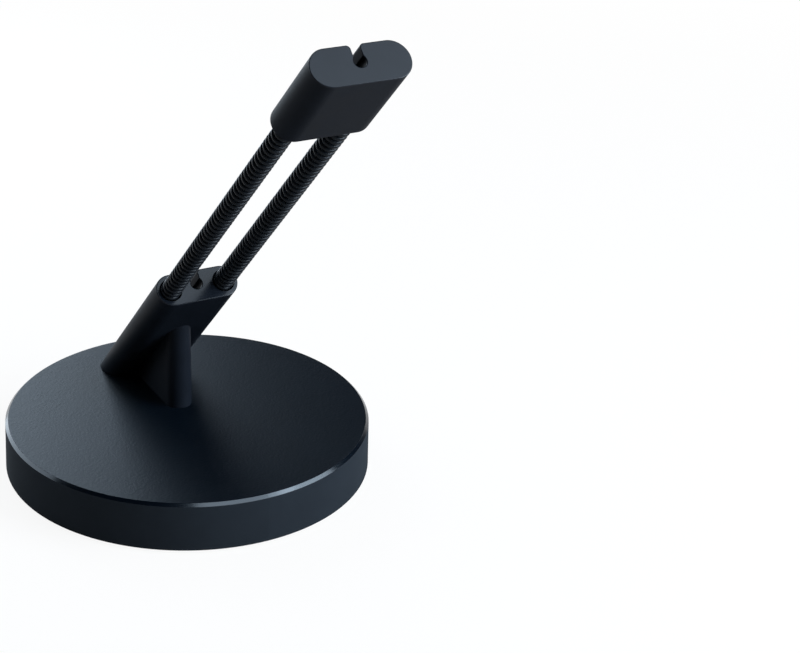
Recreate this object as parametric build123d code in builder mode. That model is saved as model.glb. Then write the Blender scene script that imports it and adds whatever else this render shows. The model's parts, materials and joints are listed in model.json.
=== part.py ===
"""Mouse bungee: a weighted round base with a leaning, sprung arm that ends in a slotted head.

A moulded neck stands on the base and leans to the front. Two coil springs carry on in the neck's
line and end in a head. The head and the neck each have a keyhole slot at the rear.

Frame: millimetres, +Z up, +X to the front, the way the arm leans. The origin is the centre of the
foot pad's underside, on the desk. Left and right are as seen from the front: right is +Y.
Places along the arm are lengths from the point where its axis meets the base's top.
"""
import os
from math import cos, radians, sin, tan

from build123d import *

# Base
base_diameter = 86.4
base_draft = 0.2
shell_height = 11.7
rim_chamfer = 0.7
top_wall = 2.6
side_wall = 2.2
plate_thickness = 3.0
pad_border = 2.65
pad_thickness = 1.2
pad_proud = 0.5
ballast_gap = 2.3
ballast_thickness = 3.0

# Bosses under the base's top, which trap the ballast and take the base screws
boss_count = 3
boss_inset = 10.8
boss_diameter = 8.4
spigot_diameter = 6.0
boss_pilot_depth = 5.4

# Arm
lean = 43.7
arm_foot_x = -28.9
neck_length = 48.9
neck_width = 20.1
neck_depth = 7.7
neck_edge_radius = 0.25
free_length = 82.8
head_length = 22.3
head_width = 21.6
head_depth = 8.3
head_edge_radius = 0.2

# Post under the neck
post_front_x = -2.6
post_width = 6.3
post_draft = 0.8
post_root_wall = 1.2

# Springs and the pins in their ends
spring_spacing = 13.2
spring_diameter = 4.7
spring_wire = 1.05
coil_pitch = 1.725
coil_groove = 0.5
bore_depth = 15.0
mouth_diameter = 5.4
mouth_depth = 2.5
pin_seat = 5.0
pin_reach = 11.0

# Rear slots: a round seat behind a narrower gap, so that what they hold snaps in
seat_diameter = 2.8
slot_gap = 2.0
slot_floor = 0.8
lip_radius = 0.9
throat_radius = 0.4
neck_slot_start = 8.0

# Screws
screw_diameter = 2.6
screw_head_diameter = 4.8
screw_head_height = 1.2
base_screw_reach = 4.6
neck_screw_reach = 5.6
neck_screw_spacing = 12.4
neck_screw_set = 3.2

# Clearances between a piece and the one it fits
slip = 0.15
snug = 0.06
head_room = 0.2

# Heights
base_top = pad_proud + shell_height
ceiling = base_top - top_wall
plate_top = pad_proud + plate_thickness
ballast_top = plate_top + ballast_thickness
recess_floor = pad_thickness
screw_seat = recess_floor + screw_head_height + head_room

# Radii of the round pieces of the base, from the outside inwards
top_radius = base_diameter / 2 - base_draft
cavity_radius = top_radius - side_wall
plate_radius = cavity_radius - slip
pad_radius = plate_radius - pad_border
ballast_radius = cavity_radius - ballast_gap
boss_circle = cavity_radius - boss_inset

# Arm directions: along the arm, and across it towards the front and down
along = Vector(sin(radians(lean)), 0, cos(radians(lean)))
across = Vector(cos(radians(lean)), 0, -sin(radians(lean)))
sideways = Vector(0, 1, 0)
arm_foot = Vector(arm_foot_x, 0, base_top)
head_start = neck_length + free_length
head_end = head_start + head_length
spring_start = neck_length - bore_depth
spring_end = head_start + bore_depth
pin_diameter = spring_diameter - 2 * spring_wire - 2 * snug

# Where the screws come up through the base's top: two into the neck, one into the post
post_axis_x = post_front_x - post_width / 2
neck_screw_points = [
    (arm_foot_x + neck_screw_set, -neck_screw_spacing / 2),
    (arm_foot_x + neck_screw_set, neck_screw_spacing / 2),
    (post_axis_x, 0),
]


def arm_plane(place, side=0.0):
    """The plane square to the arm at a place along it, with x to the right and y to the rear."""
    return Plane(origin=arm_foot + along * place + sideways * side, x_dir=sideways, z_dir=along)


def upward(points, height):
    """Places at a height whose holes run up into the solid above them."""
    return [Plane(origin=(x, y, height), x_dir=(1, 0, 0), z_dir=(0, 0, -1)) for x, y in points]


def slotted_section(sketch, width, depth):
    """A rounded bar's section with the slot let in from the rear, its throat and lips rounded."""
    SlotOverall(width, depth)
    with Locations((0, seat_diameter / 2 - slot_floor)):
        Circle(seat_diameter / 2, mode=Mode.SUBTRACT)
        Rectangle(slot_gap, depth, align=(Align.CENTER, Align.MIN), mode=Mode.SUBTRACT)
    throat = sketch.vertices().group_by(Axis.Y)[-2]
    fillet(throat, throat_radius)
    lips = sketch.vertices().group_by(Axis.Y)[-1].sort_by(lambda corner: abs(corner.X))[:2]
    fillet(lips, lip_radius)


os.makedirs("parts", exist_ok=True)

# Base shell: one moulding, turned in section, with three stepped bosses under its top
with BuildPart() as base_shell:
    with BuildSketch(Plane.XZ):
        with BuildLine():
            Polyline(
                (0, base_top),
                (top_radius - rim_chamfer, base_top),
                (top_radius, base_top - rim_chamfer),
                (base_diameter / 2, pad_proud),
                (cavity_radius, pad_proud),
                (cavity_radius, ceiling),
                (0, ceiling),
                close=True,
            )
        make_face()
    revolve(axis=Axis.Z)
    with BuildSketch(Plane.XY.offset(ballast_top)):
        with PolarLocations(boss_circle, boss_count):
            Circle(boss_diameter / 2)
    extrude(amount=ceiling - ballast_top)
    with BuildSketch(Plane.XY.offset(plate_top)):
        with PolarLocations(boss_circle, boss_count):
            Circle(spigot_diameter / 2)
    extrude(amount=ballast_thickness)
    with BuildSketch(Plane.XY.offset(plate_top)):
        with PolarLocations(boss_circle, boss_count):
            Circle(screw_diameter / 2 + snug)
    extrude(amount=boss_pilot_depth, mode=Mode.SUBTRACT)
    with Locations(*upward(neck_screw_points, ceiling)):
        Hole(radius=screw_diameter / 2 + slip, depth=top_wall)
base_shell.part.label = "base_shell"
export_step(base_shell.part, "parts/base_shell.step")

# Ballast: a steel disc on the base plate, threaded over the bosses' spigots
with BuildPart() as ballast_disc:
    with BuildSketch(Plane.XY.offset(plate_top)):
        Circle(ballast_radius)
        with PolarLocations(boss_circle, boss_count):
            Circle(spigot_diameter / 2 + slip, mode=Mode.SUBTRACT)
    extrude(amount=ballast_thickness)
ballast_disc.part.label = "ballast_disc"
export_step(ballast_disc.part, "parts/ballast_disc.step")

# Base plate: closes the shell, with a recess for the foot pad and seats for the screw heads
with BuildPart() as base_plate:
    with BuildSketch(Plane.XY.offset(pad_proud)):
        Circle(plate_radius)
    extrude(amount=plate_thickness)
    with BuildSketch(Plane.XY.offset(pad_proud)):
        Circle(pad_radius + slip)
    extrude(amount=recess_floor - pad_proud, mode=Mode.SUBTRACT)
    with Locations(Plane(origin=(0, 0, recess_floor), x_dir=(1, 0, 0), z_dir=(0, 0, -1))):
        with PolarLocations(boss_circle, boss_count):
            CounterBoreHole(
                radius=screw_diameter / 2 + slip,
                counter_bore_radius=screw_head_diameter / 2 + slip,
                counter_bore_depth=screw_seat - recess_floor,
                depth=plate_top - recess_floor,
            )
base_plate.part.label = "base_plate"
export_step(base_plate.part, "parts/base_plate.step")

# Foot pad: a rubber disc glued in the recess, which stands proud of the plate
with BuildPart() as foot_pad:
    with BuildSketch(Plane.XY):
        Circle(pad_radius)
    extrude(amount=pad_thickness)
foot_pad.part.label = "foot_pad"
export_step(foot_pad.part, "parts/foot_pad.step")

# Base screws: up through the plate into the bosses, their heads under the foot pad
with BuildPart() as base_screws:
    with BuildSketch(Plane.XY.offset(screw_seat)):
        with PolarLocations(boss_circle, boss_count):
            Circle(screw_head_diameter / 2)
    extrude(amount=-screw_head_height)
    with BuildSketch(Plane.XY.offset(screw_seat)):
        with PolarLocations(boss_circle, boss_count):
            Circle(screw_diameter / 2)
    extrude(amount=plate_top - screw_seat + base_screw_reach)
base_screws.part.label = "base_screws"
export_step(base_screws.part, "parts/base_screws.step")

# Neck: a slotted bar leaning on a round-nosed post, bored for the springs and their pins
slot_wall_plane = Plane(origin=arm_foot + across * (slot_floor + post_root_wall), z_dir=across)
post_rise = (post_front_x - arm_foot_x) / tan(radians(lean))
with BuildPart() as neck:
    with BuildSketch(Plane.XY.offset(base_top)):
        with Locations(((arm_foot_x + post_axis_x) / 2, 0)):
            SlotCenterToCenter(post_axis_x - arm_foot_x, post_width)
    extrude(amount=post_rise, taper=post_draft)
    split(bisect_by=slot_wall_plane, keep=Keep.TOP)
    with BuildSketch(arm_plane(neck_slot_start)):
        SlotOverall(neck_width, neck_depth)
    extrude(amount=-(neck_slot_start + neck_depth * tan(radians(lean))))
    with BuildSketch(arm_plane(neck_slot_start)) as neck_section:
        slotted_section(neck_section, neck_width, neck_depth)
    extrude(amount=neck_length - neck_slot_start)
    split(bisect_by=Plane.XY.offset(base_top), keep=Keep.TOP)
    neck_top = neck.faces().sort_by(Axis(arm_foot, along))[-1]
    fillet(neck_top.edges(), neck_edge_radius)
    with Locations(arm_plane(neck_length)):
        with GridLocations(spring_spacing, 0, 2, 1):
            CounterBoreHole(
                radius=spring_diameter / 2 + slip,
                counter_bore_radius=mouth_diameter / 2,
                counter_bore_depth=mouth_depth,
                depth=bore_depth,
            )
            Hole(radius=pin_diameter / 2 + snug, depth=bore_depth + pin_seat)
    with Locations(*upward(neck_screw_points, base_top)):
        Hole(radius=screw_diameter / 2 + snug, depth=neck_screw_reach + head_room)
neck.part.label = "neck"
export_step(neck.part, "parts/neck.step")

# Neck screws: up through the base's top into the neck and its post
with BuildPart() as neck_screws:
    with BuildSketch(Plane.XY.offset(ceiling)):
        with Locations(*neck_screw_points):
            Circle(screw_head_diameter / 2)
    extrude(amount=-screw_head_height)
    with BuildSketch(Plane.XY.offset(ceiling)):
        with Locations(*neck_screw_points):
            Circle(screw_diameter / 2)
    extrude(amount=top_wall + neck_screw_reach)
neck_screws.part.label = "neck_screws"
export_step(neck_screws.part, "parts/neck_screws.step")

# Head: a slotted bar like the neck, with sockets for the springs in its lower end
with BuildPart() as head:
    with BuildSketch(arm_plane(head_start)) as head_section:
        slotted_section(head_section, head_width, head_depth)
    extrude(amount=head_length)
    ends = head.faces().sort_by(Axis(arm_foot, along))
    fillet(ends[0].edges() + ends[-1].edges(), head_edge_radius)
    with Locations(Plane(origin=arm_plane(head_start).origin, x_dir=sideways, z_dir=-along)):
        with GridLocations(spring_spacing, 0, 2, 1):
            CounterBoreHole(
                radius=spring_diameter / 2 + slip,
                counter_bore_radius=mouth_diameter / 2,
                counter_bore_depth=mouth_depth,
                depth=bore_depth,
            )
            Hole(radius=pin_diameter / 2 + snug, depth=bore_depth + pin_seat)
head.part.label = "head"
export_step(head.part, "parts/head.step")

# Springs: one rib for every turn of the coil between the neck and the head, plain in the bores
turns = round(free_length / coil_pitch)
turn = free_length / turns
crest = spring_diameter / 2
bore = crest - spring_wire
ribs = [(crest, bore_depth)]
for count in range(turns):
    ribs.append((crest - coil_groove, bore_depth + (count + 0.5) * turn))
    ribs.append((crest, bore_depth + (count + 1) * turn))

for side, name in ((-1, "left"), (1, "right")):
    offset = side * spring_spacing / 2
    spring_foot = arm_plane(spring_start, offset).origin

    with BuildPart() as spring:
        with BuildSketch(Plane(origin=spring_foot, x_dir=sideways, z_dir=across)):
            with BuildLine():
                Polyline(
                    (bore, 0),
                    (crest, 0),
                    *ribs,
                    (crest, spring_end - spring_start),
                    (bore, spring_end - spring_start),
                    close=True,
                )
            make_face()
        revolve(axis=Axis(spring_foot, along))
    spring.part.label = f"{name}_spring"
    export_step(spring.part, f"parts/{name}_spring.step")

    with BuildPart() as lower_pin:
        with BuildSketch(arm_plane(spring_start - pin_seat, offset)):
            Circle(pin_diameter / 2)
        extrude(amount=pin_seat + pin_reach)
    lower_pin.part.label = f"{name}_lower_pin"
    export_step(lower_pin.part, f"parts/{name}_lower_pin.step")

    with BuildPart() as upper_pin:
        with BuildSketch(arm_plane(spring_end - pin_reach, offset)):
            Circle(pin_diameter / 2)
        extrude(amount=pin_seat + pin_reach)
    upper_pin.part.label = f"{name}_upper_pin"
    export_step(upper_pin.part, f"parts/{name}_upper_pin.step")
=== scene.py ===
# %% [markdown]
# # A mouse bungee: the looks
# A mouse bungee is a small stand for the desk: a weighted round base, and a leaning arm whose slotted
# head is carried by two springs. Its construction comes in as fixed solids. This lesson winds the
# springs as real wire and gives every piece the finish of the real one.
# Lengths are in metres, as Blender counts them, and small sizes are written as so many millimetres.

# %% Bring in the solids
import json
import math

import bpy
from mathutils import Matrix, Vector


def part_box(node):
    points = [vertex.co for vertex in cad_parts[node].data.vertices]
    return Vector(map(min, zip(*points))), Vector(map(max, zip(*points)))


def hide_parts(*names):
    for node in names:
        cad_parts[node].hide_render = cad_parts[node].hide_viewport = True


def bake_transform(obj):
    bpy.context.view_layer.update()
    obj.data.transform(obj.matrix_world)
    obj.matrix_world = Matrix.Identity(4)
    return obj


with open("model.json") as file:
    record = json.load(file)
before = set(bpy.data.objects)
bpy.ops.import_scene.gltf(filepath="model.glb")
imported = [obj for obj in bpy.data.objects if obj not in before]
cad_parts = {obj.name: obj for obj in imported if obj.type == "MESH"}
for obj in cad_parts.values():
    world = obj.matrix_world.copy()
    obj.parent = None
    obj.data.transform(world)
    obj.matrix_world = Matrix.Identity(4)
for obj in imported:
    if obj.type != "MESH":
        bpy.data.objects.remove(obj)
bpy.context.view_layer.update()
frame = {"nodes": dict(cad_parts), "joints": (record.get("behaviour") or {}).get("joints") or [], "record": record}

mm = 0.001
solids = frame["nodes"]
print("solids:", ", ".join(sorted(solids)))

# %% [markdown]
# ## Where the arm is
# The neck, the springs and the head share one leaning line. The record already knows it: the clamp in
# the head points along it, and the sprung joint tells where the free springs begin and end. Reading
# those places from the record, and not typing them again, keeps every new piece in line.

# %% Read the arm's line
mounts = {mount["name"]: mount for mount in frame["record"]["mounts"]}
head_clamp = mounts["head_cable_clamp"]
arm_flex = frame["joints"][0]
along = Vector(head_clamp["axis"]).normalized()
flex_point = Vector(arm_flex["pos_m"])
neck_end_height = arm_flex["deforming_nodes"][0]["fixed_end_z_m"]
neck_end = flex_point + along * (neck_end_height - flex_point.z) / along.z

# The joint stands a third of the way up the free springs
head_end = neck_end + (flex_point - neck_end) * 3
free_length = (head_end - neck_end).length
print(f"free springs: {free_length / mm:.1f} mm")

# %% [markdown]
# ## The camera
# The photograph was taken with a long lens from the front and a little to the left, looking down on
# the base. The place, the aim and the slight roll were found by matching the base's rim and the arm's
# corners. A constraint that tracks a target would lose the roll, so the camera's own right, up and
# forward directions are worked out and put into one matrix.

# %% Set up the camera
eye = Vector((400.68, -182.276, 248.007)) * mm
aim = Vector((10.193, 51.429, 29.077)) * mm
roll = math.radians(2.7633)
forward = (aim - eye).normalized()
level_right = forward.cross(Vector((0, 0, 1))).normalized()
level_up = level_right.cross(forward)
right = level_right * math.cos(roll) + level_up * math.sin(roll)
up = level_up * math.cos(roll) - level_right * math.sin(roll)

camera_data = bpy.data.cameras.new("camera")
camera_data.lens = 93.7154
camera_data.sensor_width = 36
camera_data.clip_start = 10 * mm
camera = bpy.data.objects.new("camera", camera_data)
turn = Matrix((right, up, -forward)).transposed().to_4x4()
camera.matrix_world = Matrix.Translation(eye) @ turn
bpy.context.scene.collection.objects.link(camera)
bpy.context.scene.camera = camera
print(f"camera {(aim - eye).length / mm:.0f} mm from its aim")

# %% [markdown]
# ## The base's plastic
# The base is a moulding of blue-black plastic. Its top has the fine grain of an etched mould, its side
# is dull and keeps about the plastic's own tone, and the narrow slope between them is polished. The top's
# tone is painted much darker than the side's, as painted shade. Three materials would need three sets of
# faces. One material does it all here, because the height of a point tells the top, the slope and the
# side apart: a fade over the height gives a share, 0 below an edge and 1 above it.

# %% Tell the base's top, slope and side apart
slope_height = 0.7 * mm
hair = 0.02 * mm


def new_finish(name):
    """A material with its node tree and its surface shader."""
    material = bpy.data.materials.new(name)
    material.use_nodes = True
    tree = material.node_tree
    return material, tree, tree.nodes["Principled BSDF"]


def object_place(tree):
    """The socket that gives each point's place on the piece."""
    return tree.nodes.new("ShaderNodeTexCoord").outputs["Object"]


def fade(tree, value, low, high, out_low=0.0, out_high=1.0):
    """Turns a stretch of one value into a stretch of another, held at both ends."""
    spread = tree.nodes.new("ShaderNodeMapRange")
    spread.inputs["From Min"].default_value = low
    spread.inputs["From Max"].default_value = high
    spread.inputs["To Min"].default_value = out_low
    spread.inputs["To Max"].default_value = out_high
    tree.links.new(value, spread.inputs["Value"])
    return spread.outputs["Result"]


base_plastic, tree, shader = new_finish("etched base plastic")
place = object_place(tree)
split = tree.nodes.new("ShaderNodeSeparateXYZ")
tree.links.new(place, split.inputs["Vector"])
height = split.outputs["Z"]
base_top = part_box("base_shell")[1].z
slope_foot = base_top - slope_height
on_top = fade(tree, height, base_top - 2 * hair, base_top - hair)
above_side = fade(tree, height, slope_foot - hair, slope_foot + hair)
print(f"slope from {slope_foot / mm:.1f} to {base_top / mm:.1f} mm")

# %% [markdown]
# No moulded surface is one flat colour, so its tones wander with a soft noise. A painted picture would
# need a UV map. Noise on Object coordinates needs none and sits still on the piece. Nearly all of a
# soft noise lies in the middle of its range, so the two tones are spread over that middle stretch.

# %% Colour the base
noise_low = 0.3
noise_high = 0.7
base_patch = 9 * mm


def grain(tree, place, size, detail=2.0):
    """Soft noise whose blotches are about one size across."""
    noise = tree.nodes.new("ShaderNodeTexNoise")
    noise.inputs["Scale"].default_value = 1 / size
    noise.inputs["Detail"].default_value = detail
    tree.links.new(place, noise.inputs["Vector"])
    return noise.outputs["Fac"]


def two_tones(tree, noise, dark, light):
    """A colour that wanders between two tones as a noise does."""
    ramp = tree.nodes.new("ShaderNodeValToRGB")
    ramp.color_ramp.elements[0].position = noise_low
    ramp.color_ramp.elements[0].color = (*dark, 1)
    ramp.color_ramp.elements[1].position = noise_high
    ramp.color_ramp.elements[1].color = (*light, 1)
    tree.links.new(noise, ramp.inputs["Fac"])
    return ramp.outputs["Color"]


def blend_tones(tree, share, first, second):
    """Goes from one colour to another as the share goes from 0 to 1."""
    blend = tree.nodes.new("ShaderNodeMix")
    blend.data_type = "RGBA"
    tree.links.new(share, blend.inputs["Factor"])

    # Numbers and colours have sockets of the same names on this node, so the colours go by index
    tree.links.new(first, blend.inputs[6])
    tree.links.new(second, blend.inputs[7])
    return blend.outputs[2]


patches = grain(tree, place, base_patch)
# The top's tone is painted far darker than the plastic's own tone, which the side keeps: painted shade on the top.
painted_shade_top_tone = two_tones(tree, patches, (0.0006, 0.0015, 0.0030), (0.0008, 0.0019, 0.0036))
side_tone = two_tones(tree, patches, (0.0088, 0.0102, 0.0124), (0.0101, 0.0117, 0.0142))
tone = blend_tones(tree, above_side, side_tone, painted_shade_top_tone)
tree.links.new(tone, shader.inputs["Base Color"])
print(f"base tones wander in patches of {base_patch / mm:.0f} mm")

# %% [markdown]
# A surface is polished where its roughness is low. The slope also gets a thin clear coat, which mirrors
# more sharply than the plastic does, and so it catches one clear line of light round the base. A blue
# tint on the gloss keeps the black cool where it is bright.

# %% Polish the slope
side_roughness = 1.0
slope_roughness = 0.22
top_roughness = 0.43
slope_coat = 0.50


def between(tree, share, first, second):
    """Goes from one value, which varies, to a second number as the share goes from 0 to 1."""
    blend = tree.nodes.new("ShaderNodeMix")
    blend.inputs["B"].default_value = second
    tree.links.new(share, blend.inputs["Factor"])
    tree.links.new(first, blend.inputs["A"])
    return blend.outputs["Result"]


polish = fade(tree, above_side, 0, 1, side_roughness, slope_roughness)
coat = fade(tree, above_side, 0, 1, 0, slope_coat)
tree.links.new(between(tree, on_top, polish, top_roughness), shader.inputs["Roughness"])
tree.links.new(between(tree, on_top, coat, 0), shader.inputs["Coat Weight"])
shader.inputs["Coat Roughness"].default_value = 0.16
shader.inputs["Specular IOR Level"].default_value = 0.11
shader.inputs["Specular Tint"].default_value = (0.62, 0.82, 1.0, 1)
print("roughness of side, slope and top:", side_roughness, slope_roughness, top_roughness)

# %% [markdown]
# The etched grain of the top spreads the light that it mirrors into a soft sheen. Real pits would take
# millions of faces, so a Bump node makes the light fall as if they were there. Their height is
# multiplied by the top's share, which leaves the slope and the side plain.

# %% Etch the top
mould_grain = 0.6 * mm
mould_depth = 0.036 * mm


def times(tree, first, second):
    """One value multiplied by another."""
    product = tree.nodes.new("ShaderNodeMath")
    product.operation = "MULTIPLY"
    tree.links.new(first, product.inputs[0])
    tree.links.new(second, product.inputs[1])
    return product.outputs["Value"]


def relief(tree, height, depth):
    """Small bumps and hollows of a given depth."""
    bump = tree.nodes.new("ShaderNodeBump")
    bump.inputs["Distance"].default_value = depth
    tree.links.new(height, bump.inputs["Height"])
    return bump.outputs["Normal"]


def wear(material, *names):
    """Puts a finish on solids, in place of their plain one."""
    for name in names:
        for slot in solids[name].material_slots:
            slot.material = material
        print(f"{name}: {material.name}, {len(material.node_tree.nodes)} nodes")


speckle = grain(tree, place, mould_grain, detail=1)
etching = relief(tree, times(tree, speckle, on_top), mould_depth)
tree.links.new(etching, shader.inputs["Normal"])
wear(base_plastic, "base_shell")

# %% [markdown]
# ## The arm's plastic
# The neck and the head are moulded in the same black. Their sides come from a blasted mould and are
# matt, while their flat ends are smoother and show more sheen. The end faces could be picked out and
# given a finish of their own, but how far a point lies along the arm tells them from the sides too:
# the dot product of its place with the arm's direction is that distance. The neck is given a little
# more gloss than the head, as the photograph shows.

# %% Arm plastic
satin_grain = 0.22 * mm
satin_depth = 0.004 * mm
arm_patch = 6 * mm
end_edge = 0.3 * mm
end_roughness = 0.25
end_coat = 0.20


def wander(tree, noise, low, high):
    """A number that wanders between two others as a noise does."""
    return fade(tree, noise, noise_low, noise_high, low, high)


def arm_plastic(name, end_reach, gloss):
    """Satin plastic whose flat end, at a reach along the arm, is smoother than its sides."""
    material, tree, shader = new_finish(name)
    place = object_place(tree)
    reach = tree.nodes.new("ShaderNodeVectorMath")
    reach.operation = "DOT_PRODUCT"
    reach.inputs[1].default_value = along
    tree.links.new(place, reach.inputs[0])
    at_end = fade(tree, reach.outputs["Value"], end_reach - end_edge, end_reach - end_edge / 3)
    patches = grain(tree, place, arm_patch)
    tone = two_tones(tree, patches, (0.0040, 0.0052, 0.0076), (0.0049, 0.0063, 0.0092))
    sides = wander(tree, patches, 0.50, 0.54)
    tree.links.new(tone, shader.inputs["Base Color"])
    tree.links.new(between(tree, at_end, sides, end_roughness), shader.inputs["Roughness"])
    tree.links.new(relief(tree, grain(tree, place, satin_grain), satin_depth), shader.inputs["Normal"])
    tree.links.new(fade(tree, at_end, 0, 1, 0, end_coat), shader.inputs["Coat Weight"])
    shader.inputs["Coat Roughness"].default_value = 0.18
    shader.inputs["Specular IOR Level"].default_value = gloss
    return material


# The clamp lies half-way along the head, so the head ends as far beyond it as it begins before it
neck_reach = neck_end.dot(along)
clamp_reach = Vector(head_clamp["pos_m"]).dot(along)
head_reach = 2 * clamp_reach - head_end.dot(along)
wear(arm_plastic("satin neck plastic", neck_reach, gloss=0.034), "neck")
wear(arm_plastic("satin head plastic", head_reach, gloss=0.019), "head")

# %% [markdown]
# ## The springs' coating
# The springs are steel wire under a black coating. A metal shader would look like bare wire, so the
# finish is that of the coating: black and smoother than the plastic, so that each turn of wire catches
# a thin line of light, and a little thicker in some places than in others.

# %% Spring coating
coat_patch = 1.6 * mm
coat_grain = 0.15 * mm
coat_depth = 0.003 * mm

spring_coat, tree, shader = new_finish("black coated wire")
place = object_place(tree)
patches = grain(tree, place, coat_patch, detail=3)
tone = two_tones(tree, patches, (0.0044, 0.0054, 0.0070), (0.0066, 0.0080, 0.0102))
tree.links.new(tone, shader.inputs["Base Color"])
tree.links.new(wander(tree, patches, 0.20, 0.28), shader.inputs["Roughness"])
tree.links.new(relief(tree, grain(tree, place, coat_grain), coat_depth), shader.inputs["Normal"])
shader.inputs["Specular IOR Level"].default_value = 0.06
print(f"{spring_coat.name}: {len(tree.nodes)} nodes")

# %% [markdown]
# ## Winding the springs
# Each spring is one length of wire wound into a helix, from the bottom of its socket in the neck to
# the end of its socket in the head. A screw modifier or a loop of points could make it too, but a
# Geometry Nodes tree says it best: a spiral path, a round wire section swept along it, and sizes that
# stay open as named inputs. Both springs come from the one tree.

# %% The coil's tree
wire_points = 12
turn_points = 36


def coil_tree(finish):
    """A node tree that winds a round wire into a coil that stands on the origin."""
    tree = bpy.data.node_groups.new("wound coil", "GeometryNodeTree")
    tree.interface.new_socket("Geometry", in_out="INPUT", socket_type="NodeSocketGeometry")
    for size in ("Turns", "Coil Radius", "Coil Length", "Wire Radius"):
        tree.interface.new_socket(size, in_out="INPUT", socket_type="NodeSocketFloat")
    tree.interface.new_socket("Geometry", in_out="OUTPUT", socket_type="NodeSocketGeometry")
    sizes = tree.nodes.new("NodeGroupInput").outputs
    result = tree.nodes.new("NodeGroupOutput")

    path = tree.nodes.new("GeometryNodeCurveSpiral")
    path.inputs["Resolution"].default_value = turn_points
    tree.links.new(sizes["Turns"], path.inputs["Rotations"])
    tree.links.new(sizes["Coil Radius"], path.inputs["Start Radius"])
    tree.links.new(sizes["Coil Radius"], path.inputs["End Radius"])
    tree.links.new(sizes["Coil Length"], path.inputs["Height"])

    section = tree.nodes.new("GeometryNodeCurvePrimitiveCircle")
    section.inputs["Resolution"].default_value = wire_points
    tree.links.new(sizes["Wire Radius"], section.inputs["Radius"])

    sweep = tree.nodes.new("GeometryNodeCurveToMesh")
    sweep.inputs["Fill Caps"].default_value = True
    tree.links.new(path.outputs["Curve"], sweep.inputs["Curve"])
    tree.links.new(section.outputs["Curve"], sweep.inputs["Profile Curve"])

    steps = [sweep]
    for kind in ("GeometryNodeSetShadeSmooth", "GeometryNodeRealizeInstances", "GeometryNodeSetMaterial"):
        steps.append(tree.nodes.new(kind))
    steps[-1].inputs["Material"].default_value = finish
    for before, after in zip(steps, steps[1:]):
        tree.links.new(before.outputs[0], after.inputs["Geometry"])
    tree.links.new(steps[-1].outputs["Geometry"], result.inputs["Geometry"])
    return tree


wound_coil = coil_tree(spring_coat)
print("coil tree with", len(wound_coil.nodes), "nodes")

# %% [markdown]
# A coil takes its place from the solid that it stands for. The solid is a rod that leans along the arm,
# and the box round a leaning rod gives back the rod: across the lean the box is as wide as the rod, and
# along it the rod's length and width both take their share.


# %% Measure the springs' solids
def rod_in_box(node):
    """The foot, length and radius of a solid rod that leans along the arm."""
    low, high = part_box(node)
    radius = (high.y - low.y) / 2
    length = (high.x - low.x - 2 * radius * along.z) / along.x
    return (low + high) / 2 - along * length / 2, length, radius


rods = {side: rod_in_box(side + "_spring") for side in ("left", "right")}
for side, (foot, length, radius) in rods.items():
    print(f"{side} spring: {length / mm:.1f} mm long, {2 * radius / mm:.1f} mm across")

# %% [markdown]
# The tree's sizes are set on a modifier by each socket's identifier. The evaluated result is copied to a
# plain mesh, turned from upright to the arm's lean and carried to its place. The turns are as far apart
# as the ribs of the solid. Between the neck and the head a spring bends with the arm, but each coil here
# is wound straight.

# %% Wind both springs
coil_pitch = 1.725 * mm
wire_radius = 0.525 * mm


def wind(name, length, radius):
    """A coil of that length and outer radius, as a plain mesh standing on the origin."""
    maker = bpy.data.objects.new(name + "_maker", bpy.data.meshes.new(name + "_maker"))
    bpy.context.scene.collection.objects.link(maker)
    winder = maker.modifiers.new("wind", "NODES")
    winder.node_group = wound_coil
    winding = length - 2 * wire_radius
    wanted = {
        "Turns": winding / coil_pitch,
        "Coil Radius": radius - wire_radius,
        "Coil Length": winding,
        "Wire Radius": wire_radius,
    }
    for socket in wound_coil.interface.items_tree:
        if socket.in_out == "INPUT" and socket.name in wanted:
            winder[socket.identifier] = wanted[socket.name]
    shown = maker.evaluated_get(bpy.context.evaluated_depsgraph_get())
    mesh = bpy.data.meshes.new_from_object(shown)
    bpy.data.objects.remove(maker)
    mesh.name = name
    mesh.transform(Matrix.Translation((0, 0, wire_radius)))
    return mesh


upright_to_lean = along.to_track_quat("Z", "Y").to_matrix().to_4x4()
for side, (foot, length, radius) in rods.items():
    mesh = wind(side + "_coil", length, radius)
    mesh.transform(Matrix.Translation(foot) @ upright_to_lean)
    coil = bpy.data.objects.new(side + "_coil", mesh)
    bpy.context.scene.collection.objects.link(coil)
    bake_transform(coil)
    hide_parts(side + "_spring")
    print(f"{coil.name}: {len(mesh.polygons)} faces")

# %% [markdown]
# ## The pieces inside and underneath
# The pins and screws are bright steel, and the ballast is a stamped steel disc. Little of this shows,
# but the part may be opened or turned over. Steel is a metal shader. Its noise is drawn out one way,
# like the marks of a tool: a Mapping node that shrinks one direction makes the marks long in it.

# %% Steel
tool_mark = 0.3 * mm
mark_depth = 0.003 * mm
steel_spread = 0.06


def steel(name, dark, light, drawn_out, roughness):
    """Bright steel with marks drawn out by the tool that made it."""
    material, tree, shader = new_finish(name)
    drawn = tree.nodes.new("ShaderNodeMapping")
    drawn.inputs["Scale"].default_value = drawn_out
    tree.links.new(object_place(tree), drawn.inputs["Vector"])
    marks = grain(tree, drawn.outputs["Vector"], tool_mark, detail=3)
    worn = wander(tree, marks, roughness - steel_spread, roughness + steel_spread)
    tree.links.new(two_tones(tree, marks, dark, light), shader.inputs["Base Color"])
    tree.links.new(worn, shader.inputs["Roughness"])
    tree.links.new(relief(tree, marks, mark_depth), shader.inputs["Normal"])
    shader.inputs["Metallic"].default_value = 1.0
    return material


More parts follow.
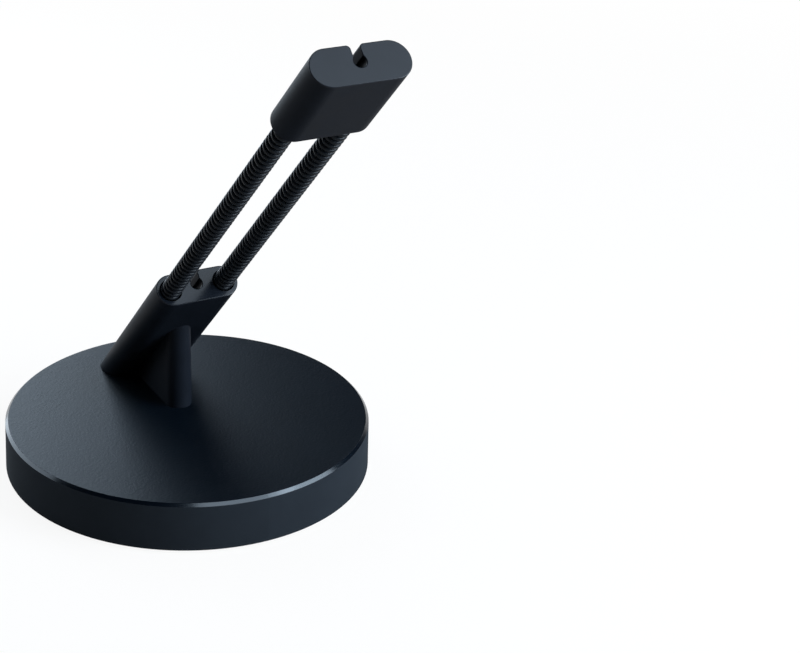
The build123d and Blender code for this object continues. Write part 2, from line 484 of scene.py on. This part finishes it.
turned = steel("turned steel", (0.5, 0.5, 0.51), (0.6, 0.6, 0.61), (1, 1, 0.2), 0.28)
zinc = steel("zinc plated steel", (0.46, 0.47, 0.5), (0.56, 0.57, 0.6), (1, 1, 1), 0.32)
stamped = steel("stamped steel", (0.36, 0.36, 0.37), (0.46, 0.46, 0.47), (1, 0.1, 1), 0.4)
wear(turned, "left_lower_pin", "right_lower_pin", "left_upper_pin", "right_upper_pin")
wear(zinc, "base_screws", "neck_screws")
wear(stamped, "ballast_disc")

# %% [markdown]
# The base stands on a rubber pad in a plain moulded plate. Both are matt and black, and differ in how
# coarse and how deep their pebbles are, so one helper makes both.

# %% Rubber and the base plate
darker = 0.8
lighter = 1.2
matt_spread = 0.05


def matt_black(name, tone, size, depth, roughness):
    """Matt black with a pebbled relief."""
    material, tree, shader = new_finish(name)
    pebbles = grain(tree, object_place(tree), size, detail=3)
    tones = two_tones(tree, pebbles, [darker * tone] * 3, [lighter * tone] * 3)
    worn = wander(tree, pebbles, roughness - matt_spread, roughness + matt_spread)
    tree.links.new(tones, shader.inputs["Base Color"])
    tree.links.new(worn, shader.inputs["Roughness"])
    tree.links.new(relief(tree, pebbles, depth), shader.inputs["Normal"])
    shader.inputs["Specular IOR Level"].default_value = 0.25
    return material


wear(matt_black("moulded base plate", 0.006, 0.6 * mm, 0.008 * mm, 0.55), "base_plate")
wear(matt_black("foot rubber", 0.008, 0.9 * mm, 0.03 * mm, 0.75), "foot_pad")

# %% [markdown]
# ## The floor
# The stand is shown on a plain pale floor, wide enough to fill the view from any side. It lies a hair
# under the foot pad, so that the two faces don't fight. A flat disc alone would show a dark horizon to
# a camera near the ground, so a low wall of the same white runs round its edge.

# %% Lay the floor
floor_radius = 6.0
floor_gap = 0.05 * mm
floor_corners = 64
wall_height = 0.62

floor_mesh = bpy.data.meshes.new("floor")
rim = []
faces = [range(floor_corners)]
for corner in range(floor_corners):
    angle = 2 * math.pi * corner / floor_corners
    rim.append((floor_radius * math.cos(angle), floor_radius * math.sin(angle), -floor_gap))
    after = (corner + 1) % floor_corners
    faces.append((corner, after, floor_corners + after, floor_corners + corner))
wall_top = [(x, y, wall_height) for x, y, z in rim]
floor_mesh.from_pydata(rim + wall_top, [], faces)
floor = bpy.data.objects.new("floor", floor_mesh)
bpy.context.scene.collection.objects.link(floor)
print(f"floor {2 * floor_radius:.0f} m across")

# %% [markdown]
# The photograph's ground is pure white, and more light on the floor would also be more light on the
# part. So nine tenths of what the camera and the reflections see of the floor near the stand is an
# even white, and further off all of it is. The rest is lit as any painted floor is, and keeps the
# stand's soft shadow. The Light Path node tells which rays these are, and all others see the paint.

# %% Paint the floor
even_white = 0.90
shadow_reach = 0.10
white_reach = 0.45

floor_paint, tree, paint = new_finish("pale floor")
paint.inputs["Base Color"].default_value = (0.56, 0.535, 0.51, 1)
paint.inputs["Roughness"].default_value = 1.0
paint.inputs["Specular IOR Level"].default_value = 0.0
white = tree.nodes.new("ShaderNodeEmission")
white.inputs["Strength"].default_value = 1.0
ray = tree.nodes.new("ShaderNodeLightPath")
seen = ray.outputs["Is Camera Ray"]
for kind in ("Is Glossy Ray", "Is Transmission Ray"):
    either = tree.nodes.new("ShaderNodeMath")
    either.operation = "MAXIMUM"
    tree.links.new(seen, either.inputs[0])
    tree.links.new(ray.outputs[kind], either.inputs[1])
    seen = either.outputs["Value"]
away = tree.nodes.new("ShaderNodeVectorMath")
away.operation = "LENGTH"
tree.links.new(object_place(tree), away.inputs[0])
even = fade(tree, away.outputs["Value"], shadow_reach, white_reach, even_white, 1.0)
shared = tree.nodes.new("ShaderNodeMixShader")
tree.links.new(times(tree, seen, even), shared.inputs["Fac"])
tree.links.new(paint.outputs["BSDF"], shared.inputs[1])
tree.links.new(white.outputs["Emission"], shared.inputs[2])
tree.links.new(shared.outputs["Shader"], tree.nodes["Material Output"].inputs["Surface"])
floor_mesh.materials.append(floor_paint)
print(f"{floor_paint.name}: all white from {white_reach / mm:.0f} mm")

# %% [markdown]
# ## The light
# Black plastic shows hardly any colour of its own: what the eye sees is the shape of the lights in it.
# Point lamps would show as hard dots, so each light is a flat soft box. A box is given the brightness
# that its face should have, and the lamp's power follows from its area. Two boxes light the whole: a
# wide one overhead lights the floor and the tops of the neck and the head, and one at the right fills
# in from above.

# %% Light the whole
daylight = (0.74, 0.87, 1.0)
behind = Vector((forward.x, forward.y, 0)).normalized()
beside = level_right
middle = Vector((0, 0, 40 * mm))


def soft_box(name, place, target, lie, width, height, glow):
    """A flat soft light that faces a target, its width lying one way, as bright as white times glow."""
    lamp = bpy.data.lights.new(name, "AREA")
    lamp.shape = "RECTANGLE"
    lamp.size = width
    lamp.size_y = height
    lamp.energy = glow * math.pi * width * height
    lamp.color = daylight
    box = bpy.data.objects.new(name, lamp)
    outward = (place - target).normalized()
    across = (lie - outward * lie.dot(outward)).normalized()
    facing = Matrix((across, outward.cross(across), outward)).transposed().to_4x4()
    box.matrix_world = Matrix.Translation(place) @ facing
    box.visible_camera = False
    bpy.context.scene.collection.objects.link(box)
    print(f"{name}: {lamp.energy:.2f} W")


def stand_at(back, side, height):
    """A place behind, beside and above the base's middle, as the camera sees it."""
    return behind * back + beside * side + Vector((0, 0, height))


askew = stand_at(0.60, 0.75, 0.0)
soft_box("overhead box", place=stand_at(-0.33, 0.49, 0.965), target=middle, lie=askew,
         width=0.95, height=0.4, glow=7.1)
soft_box("right box", place=stand_at(-0.05, 0.84, 0.70), target=middle, lie=behind,
         width=0.75, height=0.35, glow=10.2)

# %% [markdown]
# Three boxes nearby draw the shapes. A low one behind to the left lies where the base's top mirrors it,
# and so makes the sheen that fades across the base. A dim card at the left draws the light edge of the
# neck and the head, and a low box at the right lights the base's side and the springs.

# %% Draw the shapes
slant = beside + Vector((0, 0, 0.27))
soft_box("rear left box", place=stand_at(0.36, -0.22, 0.23), target=stand_at(0, -0.22, 0.18), lie=slant,
         width=0.26, height=0.31, glow=7.6)
soft_box("left card", place=stand_at(0.14, -0.26, 0.12), target=stand_at(0, 0, 0.12), lie=behind,
         width=0.42, height=0.24, glow=3.5)
soft_box("low right box", place=stand_at(-0.16, 0.58, 0.22), target=middle, lie=behind,
         width=0.35, height=0.35, glow=20.7)

# %% [markdown]
# The room round the lights is nearly dark, so the base's top turns black where it mirrors the room and
# not a box. A bright sky would light the part evenly from all sides and take its shape away.

# %% The room
room_glow = 0.012
room_tint = (0.95, 0.97, 1.0, 1)

world = bpy.data.worlds.new("room")
world.use_nodes = True
air = world.node_tree.nodes["Background"]
air.inputs["Color"].default_value = room_tint
air.inputs["Strength"].default_value = room_glow
bpy.context.scene.world = world
bpy.context.scene.view_settings.view_transform = "Standard"
print("room at", room_glow)
